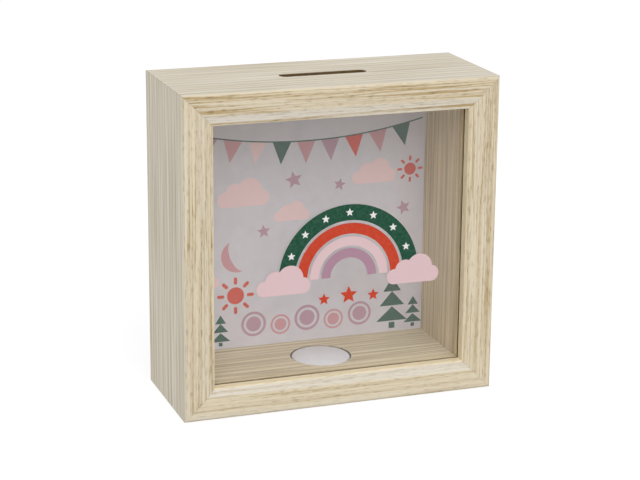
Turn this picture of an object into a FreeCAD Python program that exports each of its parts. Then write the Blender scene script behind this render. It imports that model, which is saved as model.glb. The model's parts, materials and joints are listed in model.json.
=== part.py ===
import FreeCAD, Part
import math
import os

Vector = FreeCAD.Vector

# Overall size of the box, in millimetres: front towards -Y, foot at Z = 0
WIDTH = 150.0
HEIGHT = 150.0
DEPTH = 60.0

# Rail: a wall round the box, with a lip at the front that keeps the pane in
RAIL_WALL = 10.0
LIP_REACH = 4.5
LIP_EDGE = 4.6
BEVEL_WIDTH = 5.0
BEVEL_DROP = 1.4
EDGE_ROUND = 1.5
LIP_ROUND = 0.8

# Printed foil round the rails and on the lining, cut a little short at each mitre
FOIL = 0.25
FOIL_SHY = 0.03

# Front pane
PANE = 2.0
PANE_PLAY = 0.4

# Back board with the printed sheet on its front, set in from the rear edge
BACK_BOARD = 3.0
BACK_PLAY = 0.3
BACK_RECESS = 4.0
SHEET = 0.25

# Flat steel points, two to a side, driven into the rails to hold the back board
POINT_LENGTH = 13.0
POINT_BITE = 4.0
POINT_WIDTH = 6.0
POINT_STEEL = 0.5
POINT_SPACING = 64.0

# Steel V nails across the mitres, driven in flush with the rear edge
NAIL_LEG = 5.0
NAIL_STEEL = 0.6
NAIL_HEIGHT = 10.0

# Coin slot with round ends, through the top rail and its lining
SLOT_LENGTH = 42.0
SLOT_WIDTH = 7.0

# Outlet through the bottom rail and its lining
OUTLET_DIAMETER = 29.0

# Stopper: a hollow plug with a flange that lies in a counterbore under the box
FLANGE_REACH = 4.0
FLANGE = 2.0
FLANGE_PLAY = 0.5
FLANGE_SETBACK = 0.5
FLANGE_SEAT = 0.3
BODY_PLAY = 0.8
BODY_WALL = 1.8
RIB_PLAY = 0.1
RIB_HEIGHT = 1.4
RIB_SPACING = 3.0
RIB_COUNT = 2
DOME_SINK = 0.2
DOME_RISE = 1.0
RIM_ROUND = 0.5
BAR_WIDTH = 5.0
BAR_HEIGHT = 2.0

# Depths that follow from the front and rear faces
FRONT = -DEPTH / 2
REAR = DEPTH / 2
LIP_BACK = FRONT + BEVEL_DROP + LIP_EDGE
PANE_BACK = LIP_BACK + PANE
BOARD_REAR = REAR - BACK_RECESS
BOARD_FRONT = BOARD_REAR - BACK_BOARD
SHEET_FRONT = BOARD_FRONT - SHEET

# The lining stands flush with the inner edge of the lip
FACE_WIDTH = RAIL_WALL + LIP_REACH
FACE_FLAT = FACE_WIDTH - BEVEL_WIDTH
LINING_FACE = FACE_WIDTH - FOIL

# Turn about the depth axis that carries a bottom piece to each side, and its outer face
SIDES = {
    "bottom": (0, Vector(0, 0, 0), WIDTH),
    "top": (180, Vector(0, 0, HEIGHT), WIDTH),
    "left": (90, Vector(-WIDTH / 2, 0, HEIGHT / 2), HEIGHT),
    "right": (-90, Vector(WIDTH / 2, 0, HEIGHT / 2), HEIGHT),
}


def place(shape, side):
    """Carry a piece made in the bottom's place to its own side of the box."""
    turn, outer_face, _ = SIDES[side]
    placed = shape.copy()
    placed.rotate(Vector(0, 0, 0), Vector(0, 1, 0), turn)
    placed.translate(outer_face)
    return placed


def box(x0, x1, y0, y1, z0, z1):
    """A block between two places along each axis."""
    return Part.makeBox(x1 - x0, y1 - y0, z1 - z0, Vector(x0, y0, z0))


def polygon(corners):
    """The flat face inside straight edges from corner to corner."""
    return Part.Face(Part.makePolygon(corners + corners[:1]))


def lines(points):
    """Straight edges from each point to the next."""
    return [Part.LineSegment(a, b).toShape() for a, b in zip(points, points[1:])]


def arc(centre, radius, first, last):
    """Rounded edge of a section, its angles counted in degrees from inward towards the front."""
    turns = [math.radians(first + (last - first) * share) for share in (0, 0.5, 1)]
    return Part.Arc(*[centre + Vector(0, -math.sin(turn), math.cos(turn)) * radius for turn in turns])


def rail_section(inset, start):
    """Section of a rail, its outer, front and lip faces set in by the foil under it."""
    slope = math.atan2(BEVEL_DROP, BEVEL_WIDTH)
    lip_depth = LIP_BACK - FRONT

    def at(depth, inward):
        return Vector(start, FRONT + depth, inward)

    outer_centre = at(EDGE_ROUND, EDGE_ROUND)
    outer_edge = arc(outer_centre, EDGE_ROUND - inset, 90, 180)
    lip_inset = LIP_ROUND + (BEVEL_WIDTH - LIP_ROUND) * math.sin(slope)
    lip_centre = at(lip_inset / math.cos(slope), FACE_WIDTH - LIP_ROUND)
    lip_edge = arc(lip_centre, LIP_ROUND - inset, 0, 90 - math.degrees(slope))
    behind = [
        outer_edge.EndPoint,
        at(DEPTH, inset),
        at(DEPTH, RAIL_WALL),
        at(lip_depth, RAIL_WALL),
        at(lip_depth, FACE_WIDTH - inset),
        lip_edge.StartPoint,
    ]
    bevel_top = FACE_FLAT - inset * math.tan(slope / 2)
    ahead = [lip_edge.EndPoint, at(inset, bevel_top), outer_edge.StartPoint]
    edges = [outer_edge.toShape()] + lines(behind) + [lip_edge.toShape()] + lines(ahead)
    return Part.Face(Part.Wire(edges))


def mitred(section, length, shy):
    """Run a section along X and cut both ends to 45 degrees, each short by shy."""
    bar = section.extrude(Vector(length, 0, 0))
    end = length / 2 - shy * math.sqrt(2)
    corners = [
        Vector(-end, FRONT, 0),
        Vector(end, FRONT, 0),
        Vector(end - FACE_WIDTH, FRONT, FACE_WIDTH),
        Vector(-end + FACE_WIDTH, FRONT, FACE_WIDTH),
    ]
    return bar.common(polygon(corners).extrude(Vector(0, DEPTH, 0)))


def lining_section(inner, outer, start):
    """Section of a board, or its foil, between the pane and the printed sheet."""
    outline = [(PANE_BACK, inner), (SHEET_FRONT, inner), (SHEET_FRONT, outer), (PANE_BACK, outer)]
    return polygon([Vector(start, depth, inward) for depth, inward in outline])


def side_pieces(side):
    """One side of the box: the rail, its foil, the lining board and its foil."""
    length = SIDES[side][2]
    start = -length / 2
    core = rail_section(FOIL, start)
    skin = rail_section(0, start).cut(core)
    board = lining_section(RAIL_WALL, LINING_FACE, start)
    facing = lining_section(LINING_FACE, FACE_WIDTH, start)
    return {
        side + "_rail": place(mitred(core, length, 0), side),
        side + "_rail_foil": place(mitred(skin.Faces[0], length, FOIL_SHY), side),
        side + "_lining": place(mitred(board, length, 0), side),
        side + "_lining_foil": place(mitred(facing, length, FOIL_SHY), side),
    }


def coin_slot():
    """The slot's opening, round at both ends, down through the top of the box."""
    reach = (SLOT_LENGTH - SLOT_WIDTH) / 2
    floor = HEIGHT - FACE_WIDTH
    opening = box(-reach, reach, -SLOT_WIDTH / 2, SLOT_WIDTH / 2, floor, HEIGHT)
    for end in (-reach, reach):
        opening = opening.fuse(Part.makeCylinder(SLOT_WIDTH / 2, FACE_WIDTH, Vector(end, 0, floor)))
    return opening.removeSplitter()


def outlet():
    """The outlet's opening, with a counterbore from below for the stopper's flange."""
    bore = Part.makeCylinder(OUTLET_DIAMETER / 2, FACE_WIDTH)
    counterbore_depth = FLANGE_SETBACK + FLANGE + FLANGE_SEAT
    counterbore = Part.makeCylinder(OUTLET_DIAMETER / 2 + FLANGE_REACH + FLANGE_PLAY, counterbore_depth)
    return bore.fuse(counterbore)


def pane():
    """The clear front pane, standing on the bottom rail behind the lip."""
    half = WIDTH / 2 - RAIL_WALL - PANE_PLAY
    return box(-half, half, LIP_BACK, PANE_BACK, RAIL_WALL, HEIGHT - RAIL_WALL - PANE_PLAY)


def back_layer(front, rear):
    """A sheet or board at the back, standing on the bottom rail behind the lining."""
    half = WIDTH / 2 - RAIL_WALL - BACK_PLAY
    return box(-half, half, front, rear, RAIL_WALL, HEIGHT - RAIL_WALL - BACK_PLAY)


def back_points():
    """The flat points behind the back board, each with its sharp end in a rail."""
    tip = RAIL_WALL - POINT_BITE
    shoulder = tip + POINT_WIDTH / 2
    head = tip + POINT_LENGTH
    points = []
    for side in SIDES:
        for middle in (-POINT_SPACING / 2, POINT_SPACING / 2):
            left = middle - POINT_WIDTH / 2
            right = middle + POINT_WIDTH / 2
            outline = [(left, head), (right, head), (right, shoulder), (middle, tip), (left, shoulder)]
            face = polygon([Vector(x, BOARD_REAR, z) for x, z in outline])
            points.append(place(face.extrude(Vector(0, POINT_STEEL, 0)), side))
    return Part.makeCompound(points)


def corner_nails():
    """One V nail in each mitre, with a leg in each of the two rails."""
    near = (RAIL_WALL - NAIL_LEG) / 2
    far = near + NAIL_LEG
    inner = near + NAIL_STEEL
    outline = [(near, near), (far, near), (far, inner), (inner, inner), (inner, far), (near, far)]
    nails = []
    for side_x in (-1, 1):
        for side_z in (-1, 1):
            corners = []
            for across, up in outline:
                x = side_x * (WIDTH / 2 - across)
                z = HEIGHT / 2 + side_z * (HEIGHT / 2 - up)
                corners.append(Vector(x, REAR - NAIL_HEIGHT, z))
            nails.append(polygon(corners).extrude(Vector(0, NAIL_HEIGHT, 0)))
    return Part.makeCompound(nails)


def stopper():
    """The plug in the outlet: flange, hollow ribbed body, domed end and a bar to pull it by."""
    flange_radius = OUTLET_DIAMETER / 2 + FLANGE_REACH
    body_radius = OUTLET_DIAMETER / 2 - BODY_PLAY
    rib_radius = OUTLET_DIAMETER / 2 - RIB_PLAY
    hollow_radius = body_radius - BODY_WALL
    flange_top = FLANGE_SETBACK + FLANGE
    rim = FACE_WIDTH - DOME_SINK
    crown = rim + DOME_RISE

    def at(radius, height):
        return Vector(radius, 0, height)

    path = [at(0, FLANGE_SETBACK), at(flange_radius, FLANGE_SETBACK), at(flange_radius, flange_top)]
    path.append(at(body_radius, flange_top))
    for rib in range(RIB_COUNT):
        middle = flange_top + (rib + 1) * RIB_SPACING
        path.append(at(body_radius, middle - RIB_HEIGHT / 2))
        path.append(at(rib_radius, middle - RIB_HEIGHT / 4))
        path.append(at(rib_radius, middle + RIB_HEIGHT / 4))
        path.append(at(body_radius, middle + RIB_HEIGHT / 2))
    path.append(at(body_radius, rim))

    # The dome is an arc centred on the axis, from the rim to the crown
    dome_radius = (body_radius ** 2 + DOME_RISE ** 2) / (2 * DOME_RISE)
    half_turn = math.asin(body_radius / dome_radius) / 2
    shoulder = at(dome_radius * math.sin(half_turn), crown - dome_radius * (1 - math.cos(half_turn)))
    dome = Part.Arc(at(body_radius, rim), shoulder, at(0, crown)).toShape()
    outline = lines(path) + [dome] + lines([at(0, crown), at(0, FLANGE_SETBACK)])
    plug = Part.Face(Part.Wire(outline)).revolve(Vector(0, 0, 0), Vector(0, 0, 1), 360)

    edges = [edge for edge in plug.Edges if not edge.Degenerated]
    rounded = [edge for edge in edges if is_ring(edge, body_radius, rim)]
    rounded += [edge for edge in edges if is_ring(edge, flange_radius, FLANGE_SETBACK)]
    plug = plug.makeFillet(RIM_ROUND, rounded)

    hollow_height = rim - BODY_WALL - FLANGE_SETBACK
    hollow = Part.makeCylinder(hollow_radius, hollow_height, at(0, FLANGE_SETBACK))
    bar_top = FLANGE_SETBACK + BAR_HEIGHT
    bar = box(-body_radius, body_radius, -BAR_WIDTH / 2, BAR_WIDTH / 2, FLANGE_SETBACK, bar_top)
    return plug.cut(hollow.cut(bar))


def is_ring(edge, radius, height):
    """Whether an edge is the full circle of this radius at this height."""
    if not isinstance(edge.Curve, Part.Circle):
        return False
    return math.isclose(edge.Curve.Radius, radius) and math.isclose(edge.Curve.Center.z, height)


def assembly():
    """Every piece by name, with the rails cut out for what goes through or into them."""
    pieces = {}
    for side in SIDES:
        pieces.update(side_pieces(side))
    slot = coin_slot()
    hole = outlet()
    points = back_points()
    nails = corner_nails()
    for layer in ("rail", "rail_foil", "lining", "lining_foil"):
        pieces["top_" + layer] = pieces["top_" + layer].cut(slot)
        pieces["bottom_" + layer] = pieces["bottom_" + layer].cut(hole)
    for side in SIDES:
        pieces[side + "_rail"] = pieces[side + "_rail"].cut(points).cut(nails)
    pieces["front_pane"] = pane()
    pieces["back_sheet"] = back_layer(SHEET_FRONT, BOARD_FRONT)
    pieces["back_board"] = back_layer(BOARD_FRONT, BOARD_REAR)
    pieces["back_points"] = points
    pieces["corner_nails"] = nails
    pieces["stopper"] = stopper()
    return pieces


os.makedirs("parts", exist_ok=True)
for name, shape in assembly().items():
    shape.exportStep("parts/" + name + ".step")
    print(name, len(shape.Solids), "solids", round(shape.Volume, 1), "mm3", shape.isValid())
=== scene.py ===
"""Wooden money box: finishes, printed design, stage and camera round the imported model."""

import json
import math

import bmesh
import bpy
from bpy.props import FloatProperty, FloatVectorProperty, PointerProperty
from mathutils import Matrix, Vector
from mathutils.geometry import intersect_sphere_sphere_2d

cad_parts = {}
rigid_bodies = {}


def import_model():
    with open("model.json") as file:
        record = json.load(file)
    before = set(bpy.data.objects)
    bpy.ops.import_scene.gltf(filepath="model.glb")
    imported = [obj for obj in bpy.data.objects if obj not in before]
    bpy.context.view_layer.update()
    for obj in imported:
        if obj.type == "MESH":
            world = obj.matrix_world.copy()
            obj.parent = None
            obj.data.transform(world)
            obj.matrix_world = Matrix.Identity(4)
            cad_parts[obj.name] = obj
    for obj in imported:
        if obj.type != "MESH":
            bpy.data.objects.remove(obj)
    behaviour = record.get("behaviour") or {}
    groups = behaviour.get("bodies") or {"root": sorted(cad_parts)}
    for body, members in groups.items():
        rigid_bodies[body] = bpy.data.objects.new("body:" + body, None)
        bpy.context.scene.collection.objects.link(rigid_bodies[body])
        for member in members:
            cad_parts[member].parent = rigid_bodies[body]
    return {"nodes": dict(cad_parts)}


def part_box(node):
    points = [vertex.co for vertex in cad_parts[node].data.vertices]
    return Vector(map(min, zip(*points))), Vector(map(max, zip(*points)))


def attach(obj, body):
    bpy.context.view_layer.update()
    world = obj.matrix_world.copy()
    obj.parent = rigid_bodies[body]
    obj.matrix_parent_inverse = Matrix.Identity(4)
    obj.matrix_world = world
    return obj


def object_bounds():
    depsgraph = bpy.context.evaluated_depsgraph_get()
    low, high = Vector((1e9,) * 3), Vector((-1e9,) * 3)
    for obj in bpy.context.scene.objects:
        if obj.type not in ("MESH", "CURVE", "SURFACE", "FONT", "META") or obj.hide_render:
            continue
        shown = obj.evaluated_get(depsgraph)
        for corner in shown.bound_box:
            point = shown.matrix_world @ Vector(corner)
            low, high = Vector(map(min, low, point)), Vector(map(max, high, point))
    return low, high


bl_info = {
    "name": "Wooden money box",
    "version": (1, 0, 0),
    "blender": (4, 5, 0),
    "location": "3D View > Sidebar > Money Box",
    "description": "Finishes a framed money box with foil, glass, print, steel, plastic and a stage",
    "category": "Object",
}

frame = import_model()
CAD_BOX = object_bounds()

MM = 0.001
CASE = "case"
STANDING_RAILS = ("left", "right")
# Print of each rail's moulded front: strength of the lines on its flat and on its bevel, then its
# streaks, as millimetres from the outer edge and strength there. Some streaks are painted shade
RAIL_STREAKS_AND_SHADE = {
    # On the top rail the streaks at 1.3 mm and 13.2 mm are painted shade: they darken its lit outer edge and
    # its lip edge, which faces down.
    "top": (0.55, 0.05, ((1.3, 0.7), (2.8, 0.6), (6.3, 0.66), (7.8, 0.72), (13.2, 1.8))),
    "bottom": (0.12, 0.12, ((0.7, 0.2), (4.2, 0.35), (8.2, 0.28), (14.2, 0.3))),
    "left": (0.32, 0.2, ((1.4, 0.12), (3.4, 0.55), (6.0, 0.65), (8.0, 0.35), (10.4, 0.6), (13.4, 0.65))),
    "right": (0.31, 0.28, ((0.8, 0.4), (3.8, 0.48), (7.2, 0.5), (12.4, 0.62))),
}
# Millimetres from a streak's middle to where it has faded out
STREAK_REACH = 0.7
# Millimetres from a rail's outer edge: where the print of the front, of the bevel and of the lip's yellow
# edge with its painted highlight each begins and is full, and the width of the streaks' ramp, which ends a
# little past the opening
FRONT_PRINT = (0.2, 0.6)
BEVEL_PRINT = (9.5, 10.3)
LIP_PRINT_AND_HIGHLIGHT = (13.9, 14.4)
FRONT_WIDTH = 15
# The moulded front lies in front of this depth, in millimetres from the middle of the box
MOULDED_DEPTH = -23.5
# Millimetres along the print from one rail to the opposite one, and from the lying to the standing rails
OPPOSITE_SHIFT = 370
STANDING_SHIFT = 1300
# How much bolder the linings' lines are than those of the outer faces
LINING_WEIGHT = 1.4
# Distance from the middle of the depth over which the board turns from darkened to its own colour, in
# millimetres
MID_DEPTH_DARKENING = (16, 22)
# Round heads of a cloud from left to right, as place and radius, and its flat foot below its middle, in
# millimetres
CLOUD_HEADS = ((-8.0, -0.4, 3.2), (-3.4, 2.2, 4.2), (2.8, 3.0, 5.4), (7.8, -0.2, 3.4))
CLOUD_FOOT = 3.5
# Half the thickness of the garland's cord, and the radius of the triangle that a pennant is drawn out from,
# in millimetres
CORD_HALF = 0.3
PENNANT_REACH = 5.2
# Place of the soft lamp and width of the floor, in metres
LAMP_PLACE = (-0.2, -3.6, 3.44)
FLOOR_WIDTH = 8.0
# Floor below the foot of the box, and reach of the light that comes through it, in millimetres
FLOOR_GAP = 0.3
UNDERLIGHT = 12
HALF_SIDE = (CAD_BOX[1].x - CAD_BOX[0].x) / 2
MID_HEIGHT = (CAD_BOX[1].z + CAD_BOX[0].z) / 2


def linear(code):
    """Turn an sRGB hex colour into scene-linear RGBA."""
    parts = [int(code[i:i + 2], 16) / 255 for i in (1, 3, 5)]
    return (*[p / 12.92 if p <= 0.04045 else ((p + 0.055) / 1.055) ** 2.4 for p in parts], 1.0)


def colour(name, description, code):
    """A colour that a user may change."""
    return FloatVectorProperty(name=name, description=description, default=linear(code),
                               subtype="COLOR", size=4, min=0, max=1)


def length(name, description, millimetres):
    """A length that a user may change."""
    return FloatProperty(name=name, description=description, default=millimetres * MM,
                         unit="LENGTH", precision=5)


class FoilSettings(bpy.types.PropertyGroup):
    """Print of the wood-grain foil."""
    pale: colour("Pale wood", "Whitest wood, on the bevel and between the lines", "#EEE8DC")
    side: colour("Side wood", "Ground of the outer faces and the lining", "#ECE1C9")
    front: colour("Front wood", "Warmer ground of the moulded front", "#EEE1C4")
    grey: colour("Side line", "Faint growth lines of the outer faces", "#BFB092")
    tan: colour("Front line", "Growth lines of the moulded front", "#BFA577")
    pore: colour("Pore", "Short dark pores in the growth lines", "#9A8255")
    # The lip's colour is the foil's yellow fold, made brighter as a painted highlight on the lip's face.
    lip: colour("Lip edge", "Yellow fold of the foil at the lip", "#FFEEC8")
    growth: length("Growth line", "Distance across the grain between growth lines", 4.6)
    stray: length("Stray", "How far the front's streaks stray from their place", 4)
    fine: length("Fine line", "Distance across the grain between fine lines", 0.8)
    fine_run: length("Fine run", "Length along the grain over which a fine line changes", 75)
    pore_width: length("Pore width", "Distance across the grain between pores", 0.6)
    pore_run: length("Pore run", "Length of a pore along the grain", 5)


class PrintSettings(bpy.types.PropertyGroup):
    """Inks of the printed design."""
    paper: colour("Paper", "Coated pale grey sheet", "#D2CCD4")
    pale_pink: colour("Pale pink", "Clouds and the third band", "#E9C9CB")
    rose: colour("Dusty rose", "Moon, small coins and pennants", "#C98E96")
    mauve: colour("Mauve", "Stars, coins and the inner band", "#B58C9E")
    coral: colour("Coral", "Suns and the second band", "#D0401F")
    green: colour("Dark green", "Trees, cord and the outer band", "#0D4C33")
    white: colour("White", "Stars on the outer band", "#F4F2F0")
    film: length("Ink film", "Thickness of the ink", 0.05)


class StageSettings(bpy.types.PropertyGroup):
    """Camera, lamp and room light."""
    azimuth: FloatProperty(name="Azimuth", description="Camera's turn from the front", subtype="ANGLE",
                           default=-0.345)
    elevation: FloatProperty(name="Elevation", description="Camera's height above level", subtype="ANGLE",
                             default=0.282)
    roll: FloatProperty(name="Roll", description="Camera's turn about its own axis", subtype="ANGLE",
                        default=-0.009)
    distance: length("Distance", "Camera to the middle of the box", 908.8)
    aside: length("Aside", "Camera's shift to its right", -0.547)
    below: length("Below", "Camera's shift downwards", 3.833)
    lens: FloatProperty(name="Lens", description="Focal length", default=109.9, unit="CAMERA")
    key: FloatProperty(name="Key lamp", description="Soft lamp high in front of the box", default=99.0,
                       unit="POWER")
    key_size: length("Key lamp's size", "Width of the soft lamp", 3900)
    sky: FloatProperty(name="Room light", description="Even light from all round", default=0.58)


def add(tree, kind, inputs=None, stops=(), **settings):
    """Add a shader node with its settings, its inputs as values, sockets or nodes, and a ramp's stops.

    Inputs go by name or number: 1 to 4 of Map Range are the limits it maps from and to, 2 and 3 of Mix
    are its values, and 6 and 7 its colours.
    """
    made = tree.nodes.new("ShaderNode" + kind)
    for name, value in settings.items():
        setattr(made, name, value)
    for key, value in (inputs or {}).items():
        if isinstance(value, bpy.types.Node):
            value = value.outputs[0]
        if isinstance(value, bpy.types.NodeSocket):
            tree.links.new(value, made.inputs[key])
        else:
            made.inputs[key].default_value = value
    for position, shade in stops:
        made.color_ramp.elements.new(position).color = (shade, shade, shade, 1)
    if stops:
        made.color_ramp.elements.remove(made.color_ramp.elements[-1])
        made.color_ramp.elements.remove(made.color_ramp.elements[0])
    return made


def material(name):
    """An empty node material."""
    made = bpy.data.materials.new(name)
    made.use_nodes = True
    made.node_tree.nodes.clear()
    return made


def dress(names, finish):
    """Give one finish to CAD nodes."""
    for name in names:
        node = frame["nodes"][name]
        node.data.materials.clear()
        node.data.materials.append(finish)


def streak_stops(flat, bevel, streaks):
    """Ramp stops across the front: each streak stands out from the lines of the flat or bevel beside it."""
    stops = []
    for middle, strength in streaks:
        stops.append((middle / FRONT_WIDTH, strength))
        for place in (middle - STREAK_REACH, middle + STREAK_REACH):
            stops.append((place / FRONT_WIDTH, bevel if place > BEVEL_PRINT[0] else flat))
    return stops


def grain_foil(name, upright, streaks, shade=None):
    """Decor paper foil, printed with straight ash grain and lacquered satin.

    The eye gets faint close lines on the outer faces, thin tan lines and short pores that gather in
    streaks on the moulded front, a whitish bevel, a yellow lip edge brightened as a painted highlight
    and a faint emboss that breaks the sheen. On the top rail two streaks are painted shade. A shade
    tints the foil of the linings and paints light on it: the standing linings warmer and lighter than
    the lying ones.
    """
    look = bpy.context.scene.money_foil
    finish = material(name)
    tree = finish.node_tree
    place = add(tree, "TexCoord").outputs["Object"]
    turn = (0, math.pi / 2, 0) if upright else (0, 0, 0)
    # Standing and lying rails are cut from different lengths of the print.
    middle = (STANDING_SHIFT * MM - MID_HEIGHT, 0, 0) if upright else (0, 0, -MID_HEIGHT)
    laid = add(tree, "SeparateXYZ", {0: add(tree, "Mapping", {
        "Vector": place, "Rotation": turn, "Location": middle})})
    along, depth, across = laid.outputs
    # Opposite rails are cut from different stretches of the same print.
    opposite = add(tree, "Math", {0: across}, operation="SIGN")
    stretch = add(tree, "Math", {0: opposite, 1: OPPOSITE_SHIFT * MM, 2: along}, operation="MULTIPLY_ADD")
    away = add(tree, "Math", {0: across}, operation="ABSOLUTE")
    inset = add(tree, "Math", {0: HALF_SIDE, 1: away}, operation="SUBTRACT")
    sheet = add(tree, "CombineXYZ", {0: stretch, 1: depth, 2: inset})

    grain = {}
    for layer, width, run, detail in (
            ("tone", 9 * MM, 400 * MM, 1.5), ("warp", 14 * MM, 700 * MM, 1.0),
            ("fine", look.fine, look.fine_run, 2.0), ("pore", look.pore_width, look.pore_run, 1.0),
            ("thread", 1.9 * MM, 110 * MM, 2.0), ("wander", 20 * MM, 160 * MM, 1.0)):
        cells = add(tree, "Mapping", {"Vector": sheet, "Scale": (1 / run, 1 / width, 1 / width)})
        grain[layer] = add(tree, "TexNoise", {"Vector": cells, "Scale": 1.0, "Detail": detail})

    # Growth lines follow the foil over its front edge at an even spacing, a little warped.
    unrolled = add(tree, "Math", {0: depth, 1: inset}, operation="ADD")
    warp = add(tree, "Math", {0: grain["warp"], 1: 12.0}, operation="MULTIPLY")
    phase = add(tree, "Math", {0: unrolled, 1: 2 * math.pi / look.growth, 2: warp}, operation="MULTIPLY_ADD")
    swell = add(tree, "Math", {0: phase}, operation="SINE")
    growth = add(tree, "MapRange", {"Value": swell, 1: -0.1, 2: 1.0}, interpolation_type="SMOOTHSTEP")
    fine = add(tree, "MapRange", {"Value": grain["fine"], 1: 0.44, 2: 0.64},
               interpolation_type="SMOOTHSTEP")
    pore = add(tree, "MapRange", {"Value": grain["pore"], 1: 0.54, 2: 0.63},
               interpolation_type="SMOOTHSTEP")
    # Thin drawn lines run along the grain where this layer passes its middle tone.
    middling = add(tree, "Math", {0: grain["thread"], 1: 0.5}, operation="PINGPONG")
    thread = add(tree, "MapRange", {"Value": middling, 1: 0.43, 2: 0.5, 3: 0.3, 4: 1.7},
                 interpolation_type="SMOOTHSTEP")

    # The moulding's print has tan streaks at set distances from the outer edge, which wander a little. On
    # the top rail two of them are painted shade.
    wander = add(tree, "Math", {0: grain["wander"], 1: 0.5}, operation="SUBTRACT")
    strayed = add(tree, "Math", {0: wander, 1: look.stray, 2: inset}, operation="MULTIPLY_ADD")
    ramp = add(tree, "MapRange", {"Value": strayed, 2: FRONT_WIDTH * MM})
    profile = add(tree, "ValToRGB", {"Fac": ramp}, stops=streak_stops(*streaks))
    streak = add(tree, "Math", {0: profile, 1: thread}, operation="MULTIPLY")
    bevel = add(tree, "MapRange", {"Value": strayed, 1: BEVEL_PRINT[0] * MM, 2: BEVEL_PRINT[1] * MM})
    moulded = add(tree, "Math", {0: depth, 1: MOULDED_DEPTH * MM}, operation="LESS_THAN")
    front, fold = [add(tree, "Math", {0: moulded, 1: add(tree, "MapRange", {
        "Value": inset, 1: begin * MM, 2: full * MM})}, operation="MULTIPLY")
        for begin, full in (FRONT_PRINT, LIP_PRINT_AND_HIGHLIGHT)]

    faint = add(tree, "Math", {0: fine, 1: 0.7}, operation="MULTIPLY")
    side_line = add(tree, "Math", {0: growth, 1: 0.3, 2: faint}, operation="MULTIPLY_ADD", use_clamp=True)
    carried = add(tree, "MapRange", {"Value": bevel, 3: 0.32, 4: 0.22})
    bold_line = add(tree, "Math", {0: side_line, 1: carried, 2: streak}, operation="MULTIPLY_ADD",
                    use_clamp=True)
    weight = add(tree, "MapRange", {"Value": fold, 3: LINING_WEIGHT if shade else 1.0, 4: 0.25})
    line = add(tree, "Math", {0: add(tree, "Mix", {0: front, 2: side_line, 3: bold_line}), 1: weight},
               operation="MULTIPLY", use_clamp=True)
    # Pores sit mostly in the lines, and few show on the outer faces.
    likely = add(tree, "MapRange", {"Value": line, 3: 0.12, 4: 0.8})
    shown = add(tree, "MapRange", {"Value": front, 3: 0.12, 4: 1.0})
    chance = add(tree, "Math", {0: likely, 1: shown}, operation="MULTIPLY")
    speck = add(tree, "Math", {0: pore, 1: chance}, operation="MULTIPLY")

    ground = add(tree, "Mix", {0: front, 6: look.side, 7: look.front}, data_type="RGBA").outputs[2]
    # On the lying rails the whitest stretch of the print falls on the bevel.
    bare = add(tree, "Math", {0: bevel, 1: front}, operation="MULTIPLY")
    tone = add(tree, "MapRange", {"Value": grain["tone"], 1: 0.45, 2: 0.7, 4: 0.6})
    white = add(tree, "Math", {0: bare, 1: 0.1 if upright else 0.75, 2: tone}, operation="MULTIPLY_ADD",
                use_clamp=True)
    ground = add(tree, "Mix", {0: white, 6: ground, 7: look.pale}, data_type="RGBA").outputs[2]
    # The lip's face takes the yellow fold colour, which is also a painted highlight.
    ground = add(tree, "Mix", {0: fold, 6: ground, 7: look.lip}, data_type="RGBA").outputs[2]
    ink = add(tree, "Mix", {0: front, 6: look.grey, 7: look.tan}, data_type="RGBA").outputs[2]
    streaked = add(tree, "Mix", {0: line, 6: ground, 7: ink}, data_type="RGBA").outputs[2]
    printed = add(tree, "Mix", {0: speck, 6: streaked, 7: look.pore}, data_type="RGBA").outputs[2]
    # The shade tints the linings' foil and paints light on it: the standing linings get a warmer, lighter
    # tint than the lying ones.
    if shade:
        printed = add(tree, "Mix", {0: 1.0, 6: printed, 7: shade}, data_type="RGBA",
                      blend_type="MULTIPLY").outputs[2]
    height = add(tree, "Math", {0: speck, 1: line}, operation="ADD")
    emboss = add(tree, "Bump", {"Height": height, "Strength": 0.2, "Distance": 0.08 * MM}, invert=True)
    sheen = add(tree, "MapRange", {"Value": height, 3: 0.42, 4: 0.6})
    shader = add(tree, "BsdfPrincipled", {"Base Color": printed, "Roughness": sheen, "Normal": emboss})
    add(tree, "OutputMaterial", {"Surface": shader})
    return finish


def fibreboard(name, dark, light):
    """Fibreboard, pressed and sawn: dull even brown felt of fibres, half as bright near the middle of the
    depth.
    """
    finish = material(name)
    tree = finish.node_tree
    place = add(tree, "TexCoord").outputs["Object"]
    # The fibres are finer than the picture shows, so they are drawn about 1 mm coarse.
    felt = add(tree, "TexNoise", {"Vector": place, "Scale": 1 / (1.1 * MM), "Detail": 5.0,
                                  "Roughness": 0.65})
    cloud = add(tree, "TexNoise", {"Vector": place, "Scale": 1 / (14 * MM), "Detail": 2.0})
    clouded = add(tree, "Math", {0: cloud, 1: 0.3}, operation="MULTIPLY")
    mixed = add(tree, "Math", {0: felt, 1: 0.7, 2: clouded}, operation="MULTIPLY_ADD")
    shade = add(tree, "Mix", {0: add(tree, "MapRange", {"Value": mixed, 1: 0.36, 2: 0.64}),
                              6: linear(dark), 7: linear(light)}, data_type="RGBA").outputs[2]
    # The board is half as bright near the middle of the depth, which darkens the walls of the slot and the
    # outlet. The sawn rear and groove are pale.
    depth = add(tree, "Math", {0: add(tree, "SeparateXYZ", {0: place}).outputs["Y"]}, operation="ABSOLUTE")
    begin, end = MID_DEPTH_DARKENING
    mid_depth_darkening = add(tree, "MapRange", {"Value": depth, 1: begin * MM, 2: end * MM, 3: 0.5})
    shade = add(tree, "HueSaturation", {"Color": shade, "Value": mid_depth_darkening})
    bump = add(tree, "Bump", {"Height": felt, "Strength": 0.35, "Distance": 0.12 * MM})
    shader = add(tree, "BsdfPrincipled", {
        "Base Color": shade, "Roughness": add(tree, "MapRange", {"Value": felt, 3: 0.8, 4: 0.95}),
        "Normal": bump})
    add(tree, "OutputMaterial", {"Surface": shader})
    return finish


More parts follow.
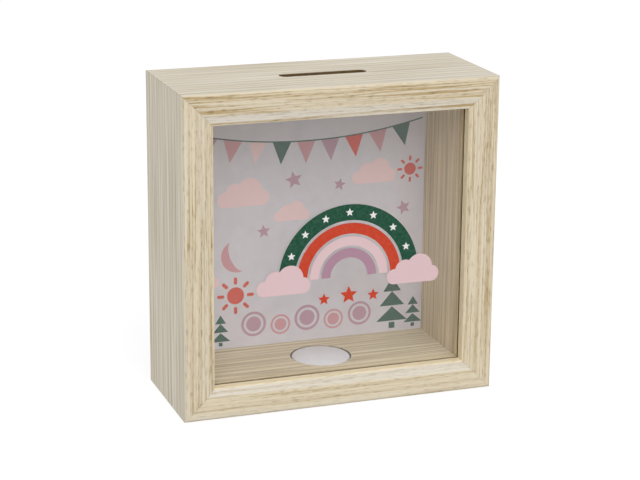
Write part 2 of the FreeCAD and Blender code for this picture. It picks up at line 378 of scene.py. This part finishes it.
def float_glass():
    """Float glass, drawn flat: clear with a faint green cast and weak sharp reflections."""
    finish = material("float_glass")
    tree = finish.node_tree
    clear = add(tree, "BsdfPrincipled", {"Base Color": linear("#FEFFFE"), "Roughness": 0.0, "IOR": 1.5,
                                         "Transmission Weight": 1.0})
    # Lamp light passes through the pane to the inside.
    shader = add(tree, "MixShader", {0: add(tree, "LightPath").outputs["Is Shadow Ray"], 1: clear,
                                     2: add(tree, "BsdfTransparent")})
    add(tree, "OutputMaterial", {"Surface": shader})
    return finish


def coated_paper():
    """Coated paper, calendered: nearly even pale grey with a faint cloudy formation."""
    finish = material("coated_paper")
    tree = finish.node_tree
    place = add(tree, "TexCoord").outputs["Object"]
    cloud = add(tree, "TexNoise", {"Vector": place, "Scale": 1 / (6 * MM), "Detail": 4.0,
                                   "Roughness": 0.6})
    paper = bpy.context.scene.money_print.paper
    grey = [c * 0.93 for c in paper[:3]] + [1.0]
    shade = add(tree, "Mix", {0: add(tree, "MapRange", {"Value": cloud, 1: 0.35, 2: 0.65}),
                              6: grey, 7: paper}, data_type="RGBA").outputs[2]
    fibre = add(tree, "TexNoise", {"Vector": place, "Scale": 1 / (0.7 * MM), "Detail": 2.0})
    bump = add(tree, "Bump", {"Height": fibre, "Strength": 0.1, "Distance": 0.05 * MM})
    shader = add(tree, "BsdfPrincipled", {
        "Base Color": shade, "Roughness": add(tree, "MapRange", {"Value": cloud, 3: 0.5, 4: 0.62}),
        "Normal": bump})
    add(tree, "OutputMaterial", {"Surface": shader})
    return finish


def screen_ink(name, tint):
    """Screen-printed ink: a thin film with a slightly uneven laydown and a soft gloss."""
    finish = material(name)
    tree = finish.node_tree
    place = add(tree, "TexCoord").outputs["Object"]
    # The screen's mesh is finer than the picture shows, so the mottle is drawn about 1.4 mm coarse.
    mottle = add(tree, "TexNoise", {"Vector": place, "Scale": 1 / (1.4 * MM), "Detail": 4.0,
                                    "Roughness": 0.6})
    thin = [c + (0.85 - c) * 0.03 for c in tint[:3]] + [1.0]
    shade = add(tree, "Mix", {0: add(tree, "MapRange", {"Value": mottle, 1: 0.38, 2: 0.6}),
                              6: thin, 7: tint}, data_type="RGBA").outputs[2]
    bump = add(tree, "Bump", {"Height": mottle, "Strength": 0.15, "Distance": 0.03 * MM})
    shader = add(tree, "BsdfPrincipled", {
        "Base Color": shade, "Roughness": add(tree, "MapRange", {"Value": mottle, 3: 0.65, 4: 0.5}),
        "Specular IOR Level": 0.2, "Normal": bump})
    add(tree, "OutputMaterial", {"Surface": shader})
    return finish


def rolled_steel():
    """Bright cold-rolled steel strip, sheared: grey metal with fine rolling lines and dull patches."""
    finish = material("rolled_steel")
    tree = finish.node_tree
    place = add(tree, "TexCoord").outputs["Object"]
    rolled = add(tree, "Mapping", {"Vector": place,
                                   "Scale": (1 / (0.25 * MM), 1 / (4 * MM), 1 / (4 * MM))})
    lines = add(tree, "TexNoise", {"Vector": rolled, "Scale": 1.0, "Detail": 3.0})
    patch = add(tree, "TexNoise", {"Vector": place, "Scale": 1 / (3 * MM), "Detail": 3.0})
    shade = add(tree, "Mix", {0: patch, 6: linear("#8E8F90"), 7: linear("#B9BABB")},
                data_type="RGBA").outputs[2]
    bump = add(tree, "Bump", {"Height": lines, "Strength": 0.2, "Distance": 0.02 * MM})
    shader = add(tree, "BsdfPrincipled", {
        "Base Color": shade, "Metallic": 1.0, "Normal": bump,
        "Roughness": add(tree, "MapRange", {"Value": patch, 1: 0.3, 2: 0.7, 3: 0.28, 4: 0.5})})
    add(tree, "OutputMaterial", {"Surface": shader})
    return finish


def moulded_polythene():
    """Low-density polythene, injection moulded: milky off-white, waxy, light soaks in at the edges."""
    finish = material("moulded_polythene")
    tree = finish.node_tree
    place = add(tree, "TexCoord").outputs["Object"]
    flow = add(tree, "TexNoise", {"Vector": place, "Scale": 1 / (9 * MM), "Detail": 2.0})
    skin = add(tree, "TexNoise", {"Vector": place, "Scale": 1 / (0.6 * MM), "Detail": 2.0})
    shade = add(tree, "Mix", {0: add(tree, "MapRange", {"Value": flow, 1: 0.3, 2: 0.7}),
                              6: linear("#DAD8DC"), 7: linear("#E6E4E7")}, data_type="RGBA").outputs[2]
    bump = add(tree, "Bump", {"Height": skin, "Strength": 0.12, "Distance": 0.05 * MM})
    shader = add(tree, "BsdfPrincipled", {
        "Base Color": shade, "Roughness": add(tree, "MapRange", {"Value": flow, 3: 0.34, 4: 0.46}),
        "Subsurface Weight": 0.2, "Subsurface Radius": (1.0, 0.9, 0.8), "Subsurface Scale": 1.5 * MM,
        "Normal": bump})
    add(tree, "OutputMaterial", {"Surface": shader})
    return finish


class InkSheet:
    """One ink of the design: shapes drawn flat on the printed face and raised to the ink film."""

    def __init__(self, name, face, film):
        bpy.ops.object.select_all(action="DESELECT")
        bpy.ops.object.add(type="MESH", location=(0, 0, 0), enter_editmode=True)
        self.piece = bpy.context.object
        self.piece.name = self.piece.data.name = name
        self.face = face
        self.film = film

    def at(self, x, z):
        """Point on the printed face, from millimetres."""
        return (x * MM, self.face, z * MM)

    def pick(self, test):
        """Of the points that are selected, keep those whose order and place pass the test."""
        mesh = bmesh.from_edit_mesh(self.piece.data)
        for order, point in enumerate([v for v in mesh.verts if v.select]):
            point.select_set(bool(test(order, point.co)))
        mesh.select_flush(False)
        bmesh.update_edit_mesh(self.piece.data)

    def circle(self, x, z, radius, corners, filled="NGON"):
        """Flat circle as the start of a shape, alone in the selection."""
        bpy.ops.mesh.select_all(action="DESELECT")
        bpy.ops.mesh.primitive_circle_add(vertices=corners, radius=radius * MM, fill_type=filled,
                                          location=self.at(x, z), rotation=(math.pi / 2, 0, 0))

    def turn(self, angle, x, z):
        """Turn the whole shape about a point."""
        bpy.ops.mesh.select_linked()
        bpy.ops.transform.rotate(value=angle, orient_axis="Y", center_override=self.at(x, z))

    def thicken(self):
        """Raise the selected flat shape to the ink film, closed all round."""
        bpy.ops.mesh.select_linked()
        bpy.ops.mesh.extrude_region_move(TRANSFORM_OT_translate={"value": (0, self.film, 0)})
        bpy.ops.mesh.select_linked()
        bpy.ops.mesh.normals_make_consistent(inside=False)

    def disc(self, x, z, radius):
        """Disc with an inner ring of faces."""
        self.circle(x, z, radius, 40)
        bpy.ops.mesh.inset(thickness=radius * 0.3 * MM)
        self.thicken()

    def band(self, x, z, outer, inner, cuts=(), corners=56):
        """Flat ring, cut off on the far side of each plane that is given by a point and a direction."""
        self.circle(x, z, outer, corners, "NOTHING")
        bpy.ops.mesh.extrude_region_move()
        bpy.ops.transform.resize(value=(inner / outer,) * 3, center_override=self.at(x, z))
        for (cut_x, cut_z), direction in cuts:
            bpy.ops.mesh.select_linked()
            bpy.ops.mesh.bisect(plane_co=self.at(cut_x, cut_z), plane_no=direction, clear_outer=True)
        self.thicken()

    def arch(self, x, z, outer, inner):
        """Upper half of a ring."""
        self.band(x, z, outer, inner, [((x, z), (0, 0, -1))], 120)

    def string(self, sag, radius, reach):
        """Thin cord of a garland, hanging in a shallow curve."""
        centre = sag + radius
        ends = [((0, centre), (0, 0, 1)), ((reach, sag), (1, 0, 0)), ((-reach, sag), (-1, 0, 0))]
        self.band(0, centre, radius + CORD_HALF, radius - CORD_HALF, ends, 360)

    def pennant(self, x, sag, radius):
        """Pointed flag that hangs from the garland's cord."""
        z = sag + radius - math.sqrt(radius ** 2 - x ** 2) - CORD_HALF
        self.circle(x, z, PENNANT_REACH, 3)
        self.turn(math.pi, x, z)
        bpy.ops.transform.translate(value=(0, 0, -PENNANT_REACH / 2 * MM))
        bpy.ops.transform.resize(value=(1, 1, 1.35), center_override=self.at(x, z))
        self.turn(math.asin(x / radius), x, z)
        self.thicken()

    def star(self, x, z, radius, lean=0.0):
        """Star of five points."""
        self.circle(x, z, radius, 10)
        self.pick(lambda order, place: order % 2)
        bpy.ops.transform.resize(value=(0.45,) * 3, center_override=self.at(x, z))
        self.turn(lean, x, z)
        self.thicken()

    def moon(self, x, z, radius, lean=0.0):
        """Crescent: a circle whose right half is folded over and flattened."""
        self.circle(x, z, radius, 48)
        self.pick(lambda order, place: place.x > (x + 0.02 * radius) * MM)
        bpy.ops.transform.resize(value=(-0.45, 1, 1), center_override=self.at(x, z))
        self.turn(lean, x, z)
        self.thicken()

    def bar(self, x, z, long, high):
        """Bar with round ends."""
        self.circle(x, z, high / 2, 28)
        self.pick(lambda order, place: place.x > x * MM)
        bpy.ops.transform.translate(value=((long - high) * MM, 0, 0))
        bpy.ops.mesh.select_linked()
        bpy.ops.transform.translate(value=(-(long - high) / 2 * MM, 0, 0))
        self.thicken()

    def ray(self, x, z, radius, angle):
        """Short rounded stroke that points away from a sun."""
        self.bar(x, z + radius * 1.75, radius * 0.85, radius * 0.4)
        self.turn(math.pi / 2, x, z + radius * 1.75)
        self.turn(angle, x, z)

    def sun(self, x, z, radius):
        """Disc with eight rays."""
        self.disc(x, z, radius)
        for step in range(8):
            self.ray(x, z, radius, step * math.pi / 4)

    def point(self, x, z):
        """Single point as the start of an outline, alone in the selection."""
        self.circle(x, z, 1, 3, "NOTHING")
        bpy.ops.mesh.merge(type="CENTER")

    def cloud(self, x, z, scale):
        """Cloud: its outline runs over round heads, from one end of the flat foot to the other."""
        heads = [(Vector((x + shift * scale, z + rise * scale)), radius * scale)
                 for shift, rise, radius in CLOUD_HEADS]
        foot = z - CLOUD_FOOT * scale
        ends = [Vector((middle.x + side * math.sqrt(radius ** 2 - (middle.y - foot) ** 2), foot))
                for (middle, radius), side in ((heads[0], -1), (heads[-1], 1))]
        valleys = [max(intersect_sphere_sphere_2d(*head, *beside), key=lambda place: place.y)
                   for head, beside in zip(heads, heads[1:])]
        stops = [ends[0], *valleys, ends[1]]
        self.point(*ends[0])
        for (middle, radius), begin, stop in zip(heads, stops, stops[1:]):
            bpy.ops.mesh.spin(steps=16, angle=(begin - middle).angle_signed(stop - middle),
                              center=self.at(*middle), axis=(0, -1, 0))
        bpy.ops.mesh.select_linked()
        bpy.ops.mesh.edge_face_add()
        self.thicken()

    def coin(self, x, z, radius):
        """Disc in a ring."""
        self.band(x, z, radius, radius * 0.8)
        self.disc(x, z, radius * 0.6)

    def tree(self, x, z, high):
        """Fir: three tiers with a short trunk, each placed and sized as a share of its height."""
        tier, trunk = 0.27, z + 0.065 * high
        for rise, wide in ((0.15, 0.6), (0.44, 0.48), (0.71, 0.34)):
            base = z + rise * high
            self.circle(x, base, wide * high / math.sqrt(3), 3)
            bpy.ops.transform.translate(value=(0, 0, wide * high / math.sqrt(12) * MM))
            squash = tier / wide / math.sqrt(0.75)
            bpy.ops.transform.resize(value=(1, 1, squash), center_override=self.at(x, base))
            self.thicken()
        self.circle(x, trunk, 0.08 * high, 4)
        self.turn(math.pi / 4, x, trunk)
        self.thicken()

    def draw(self, motifs, tint):
        """Draw the motifs, close the piece and let it ride on the case."""
        for motif, *sizes in motifs:
            getattr(self, motif)(*sizes)
        bpy.ops.object.mode_set(mode="OBJECT")
        self.piece.data.materials.append(screen_ink(self.piece.name, tint))
        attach(self.piece, CASE)


# Lowest height of the garland and radius of its curve
SAG, SWEEP = 113.5, 240
# Design on the back sheet, in millimetres from the middle of the box and from its foot
BACK_DESIGN = {
    "green": [("string", SAG, SWEEP, 59), ("tree", -54, 15.8, 25), ("tree", -42.5, 15.8, 16),
              ("tree", 45, 15.8, 27), ("tree", 56, 15.8, 16),
              ("pennant", -12, SAG, SWEEP), ("pennant", 48, SAG, SWEEP)],
    "mauve": [("star", -6, 95, 4.4, 0.2), ("star", 17, 91, 3.2, -0.2), ("star", 50, 77, 3.8, 0.3),
              ("star", -21, 71, 3.4, 0.1), ("star", -53, 84, 4.2, -0.2), ("star", 52, 58, 4, 0.2),
              ("coin", -26, 25.5, 6.2), ("coin", 1, 26, 6.4), ("coin", 28, 25.5, 6),
              ("pennant", -48, SAG, SWEEP), ("pennant", 12, SAG, SWEEP)],
    "rose": [("moon", -34, 60, 8, 0.4), ("coin", -12.5, 24, 5), ("coin", 14.5, 24, 5),
             ("pennant", -36, SAG, SWEEP), ("pennant", 0, SAG, SWEEP), ("pennant", 36, SAG, SWEEP)],
    "pale_pink": [("cloud", -31, 88, 1.15), ("cloud", 34.5, 94, 1.0), ("cloud", -52, 48, 0.8),
                  ("cloud", -7, 78, 0.8), ("pennant", -24, SAG, SWEEP)],
    "coral": [("sun", -35, 40.5, 4.2), ("sun", 53, 96, 3), ("pennant", 24, SAG, SWEEP)],
}
# Middle of the arch, and the stars on its outer band: their distance from it, first angle and number
ARCH_X, ARCH_Z = 5, 60
STAR_REACH, FIRST_STAR, STARS = 30.2, 0.4, 7
STAR_ANGLES = [FIRST_STAR + n * (math.pi - 2 * FIRST_STAR) / (STARS - 1) for n in range(STARS)]
# Design on the front of the pane: how many films in front of the glass each ink lies, and its shapes
PANE_DESIGN = {
    "white": (3, [("star", ARCH_X + STAR_REACH * math.cos(angle), ARCH_Z + STAR_REACH * math.sin(angle), 2.0)
                  for angle in STAR_ANGLES]),
    "pale_pink": (3, [("arch", ARCH_X, ARCH_Z, 18.9, 14.6), ("cloud", ARCH_X - 31.5, ARCH_Z - 2, 1.15),
                      ("cloud", ARCH_X + 31.5, ARCH_Z - 2, 1.15)]),
    "coral": (1, [("arch", ARCH_X, ARCH_Z, 25.2, 20.2), ("star", ARCH_X, ARCH_Z - 9, 4.4),
                  ("star", ARCH_X - 12, ARCH_Z - 10, 3), ("star", ARCH_X + 12, ARCH_Z - 10, 3)]),
    "mauve": (1, [("arch", ARCH_X, ARCH_Z, 13.3, 9)]),
    "green": (1, [("arch", ARCH_X, ARCH_Z, 34, 26.5)]),
}


def background_ray(tree, path):
    """1 on rays that show the background as white: seen, mirrored or through glass."""
    mirrored = add(tree, "Math", {0: path.outputs["Is Camera Ray"], 1: path.outputs["Is Glossy Ray"]},
                   operation="MAXIMUM")
    return add(tree, "Math", {0: mirrored, 1: path.outputs["Is Transmission Ray"]}, operation="MAXIMUM")


class MONEYBOX_OT_foil(bpy.types.Operator):
    """Wood-grain foil on the rails and linings"""
    bl_idname = "moneybox.foil"
    bl_label = "Grain foil"

    def execute(self, context):
        for side, streaks in RAIL_STREAKS_AND_SHADE.items():
            upright = side in STANDING_RAILS
            dress([f"{side}_rail_foil"], grain_foil(f"ash_foil_{side}_rail", upright, streaks))
            # Painted light: the standing linings are tinted warmer and lighter than the lying ones, standing
            # in for how the lamp falls inside the box.
            shade = linear("#FAEFDA" if upright else "#F2EDE1")
            dress([f"{side}_lining_foil"], grain_foil(f"ash_foil_{side}_lining", upright, streaks, shade))
        return {"FINISHED"}


class MONEYBOX_OT_boards(bpy.types.Operator):
    """Fibreboard of the rails, the linings and the back"""
    bl_idname = "moneybox.boards"
    bl_label = "Boards"

    def execute(self, context):
        boards = [f"{side}_{part}" for side in RAIL_STREAKS_AND_SHADE for part in ("rail", "lining")]
        dress(boards, fibreboard("sawn_fibreboard", "#82643A", "#AA8A57"))
        dress(["back_board"], fibreboard("pressed_hardboard", "#936F42", "#B9946A"))
        return {"FINISHED"}


class MONEYBOX_OT_pane(bpy.types.Operator):
    """Clear front pane"""
    bl_idname = "moneybox.pane"
    bl_label = "Pane"

    def execute(self, context):
        dress(["front_pane"], float_glass())
        return {"FINISHED"}


class MONEYBOX_OT_hardware(bpy.types.Operator):
    """Steel points that hold the back and nails across the mitres"""
    bl_idname = "moneybox.hardware"
    bl_label = "Steel"

    def execute(self, context):
        dress(["back_points", "corner_nails"], rolled_steel())
        return {"FINISHED"}


class MONEYBOX_OT_stopper(bpy.types.Operator):
    """Plastic stopper in the outlet"""
    bl_idname = "moneybox.stopper"
    bl_label = "Stopper"

    def execute(self, context):
        dress(["stopper"], moulded_polythene())
        return {"FINISHED"}


class MONEYBOX_OT_back_print(bpy.types.Operator):
    """Printed sheet on the back: garland, clouds, stars, a moon, coins, suns and trees"""
    bl_idname = "moneybox.back_print"
    bl_label = "Back print"

    def execute(self, context):
        inks = context.scene.money_print
        dress(["back_sheet"], coated_paper())
        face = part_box("back_sheet")[0].y - inks.film
        for name, motifs in BACK_DESIGN.items():
            InkSheet(f"back_ink_{name}", face, inks.film).draw(motifs, getattr(inks, name))
        return {"FINISHED"}


class MONEYBOX_OT_pane_print(bpy.types.Operator):
    """Arch of colour bands with clouds and stars, printed on the front of the pane"""
    bl_idname = "moneybox.pane_print"
    bl_label = "Pane print"

    def execute(self, context):
        inks = context.scene.money_print
        film = inks.film / 4
        for name, (layer, motifs) in PANE_DESIGN.items():
            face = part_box("front_pane")[0].y - (layer + 1) * film
            InkSheet(f"pane_ink_{name}", face, film).draw(motifs, getattr(inks, name))
        return {"FINISHED"}


class MONEYBOX_OT_stage(bpy.types.Operator):
    """White floor, soft lamp, room light and the camera"""
    bl_idname = "moneybox.stage"
    bl_label = "Stage"

    def execute(self, context):
        stage = context.scene.money_stage
        scene = context.scene
        scene.view_settings.view_transform = "Standard"

        world = scene.world or bpy.data.worlds.new("studio")
        scene.world = world
        world.use_nodes = True
        tree = world.node_tree
        tree.nodes.clear()
        seen = background_ray(tree, add(tree, "LightPath"))
        room = add(tree, "Background", {"Color": linear("#FBFCFF"), "Strength": stage.sky})
        white = add(tree, "Background", {"Color": (1, 1, 1, 1), "Strength": 1.0})
        add(tree, "OutputWorld", {"Surface": add(tree, "MixShader", {0: seen, 1: room, 2: white})})

        bpy.ops.object.select_all(action="DESELECT")
        bpy.ops.mesh.primitive_plane_add(size=FLOOR_WIDTH, location=(0, 0, CAD_BOX[0].z - FLOOR_GAP * MM))
        floor = context.object
        floor.name = "floor"
        bpy.ops.object.transform_apply()
        floor.data.materials.append(self.paper_sweep())

        aim = (Vector((0, 0, MID_HEIGHT)) - Vector(LAMP_PLACE)).to_track_quat("-Z", "Y").to_euler()
        bpy.ops.object.light_add(type="AREA", location=LAMP_PLACE, rotation=aim)
        lamp = context.object
        lamp.name = "key"
        lamp.data.energy = stage.key
        lamp.data.size = stage.key_size
        self.camera(context, stage)
        return {"FINISHED"}

    def paper_sweep(self):
        """White studio paper: plain, matte, seen as white, with the box's soft shadow on it."""
        finish = material("studio_paper")
        tree = finish.node_tree
        path = add(tree, "LightPath")
        seen = background_ray(tree, path)
        plain = add(tree, "BsdfDiffuse", {"Color": linear("#E8E8E8")})
        shown = add(tree, "AddShader", {0: add(tree, "Emission", {"Strength": 0.79}),
                                        1: add(tree, "BsdfDiffuse", {"Color": linear("#9C9C9C")})})
        lit = add(tree, "MixShader", {0: seen, 1: plain, 2: shown})
        # From below the floor is clear, and light comes through it close to the box, so that the underside
        # can be seen.
        close = add(tree, "Math", {0: path.outputs["Ray Length"], 1: UNDERLIGHT * MM}, operation="LESS_THAN")
        light = add(tree, "Math", {0: path.outputs["Is Diffuse Ray"], 1: path.outputs["Is Shadow Ray"]},
                    operation="MAXIMUM")
        under = add(tree, "Math", {0: close, 1: light, 2: add(tree, "NewGeometry").outputs["Backfacing"]},
                    operation="MULTIPLY_ADD", use_clamp=True)
        surface = add(tree, "MixShader", {0: under, 1: lit, 2: add(tree, "BsdfTransparent")})
        add(tree, "OutputMaterial", {"Surface": surface})
        return finish

    def camera(self, context, stage):
        """Camera at the photograph's angle, aimed near the middle of the box."""
        turn, rise = stage.azimuth, stage.elevation
        level = Vector((-math.sin(turn), math.cos(turn), 0))
        forward = math.cos(rise) * level - Vector((0, 0, math.sin(rise)))
        right = forward.cross(Vector((0, 0, 1))).normalized()
        down = forward.cross(right)
        aim = Vector((0, 0, MID_HEIGHT)) + stage.aside * right + stage.below * down
        place = aim - stage.distance * forward
        cos, sin = math.cos(stage.roll), math.sin(stage.roll)
        axes = Matrix((cos * right + sin * down, sin * right - cos * down, -forward)).transposed()
        bpy.ops.object.camera_add(location=place, rotation=axes.to_euler())
        camera = context.object
        camera.data.lens = stage.lens
        camera.data.sensor_width = 36
        context.scene.camera = camera


class MONEYBOX_PT_panel(bpy.types.Panel):
    """Steps that finish the money box"""
    bl_label = "Money Box"
    bl_idname = "MONEYBOX_PT_panel"
    bl_space_type = "VIEW_3D"
    bl_region_type = "UI"
    bl_category = "Money Box"

    def draw(self, context):
        for step in STEPS:
            self.layout.operator(step.bl_idname)
        for settings in (context.scene.money_foil, context.scene.money_print, context.scene.money_stage):
            box = self.layout.box()
            for name in settings.__annotations__:
                box.prop(settings, name)


STEPS = (MONEYBOX_OT_foil, MONEYBOX_OT_boards, MONEYBOX_OT_pane, MONEYBOX_OT_hardware, MONEYBOX_OT_stopper,
         MONEYBOX_OT_back_print, MONEYBOX_OT_pane_print, MONEYBOX_OT_stage)
CLASSES = (FoilSettings, PrintSettings, StageSettings, *STEPS, MONEYBOX_PT_panel)


def register():
    for cls in CLASSES:
        bpy.utils.register_class(cls)
    bpy.types.Scene.money_foil = PointerProperty(type=FoilSettings)
    bpy.types.Scene.money_print = PointerProperty(type=PrintSettings)
    bpy.types.Scene.money_stage = PointerProperty(type=StageSettings)


def unregister():
    del bpy.types.Scene.money_foil, bpy.types.Scene.money_print, bpy.types.Scene.money_stage
    for cls in reversed(CLASSES):
        bpy.utils.unregister_class(cls)


def main():
    register()
    for step in (bpy.ops.moneybox.foil, bpy.ops.moneybox.boards, bpy.ops.moneybox.pane,
                 bpy.ops.moneybox.hardware, bpy.ops.moneybox.stopper, bpy.ops.moneybox.back_print,
                 bpy.ops.moneybox.pane_print, bpy.ops.moneybox.stage):
        step()


if __name__ == "__main__":
    main()
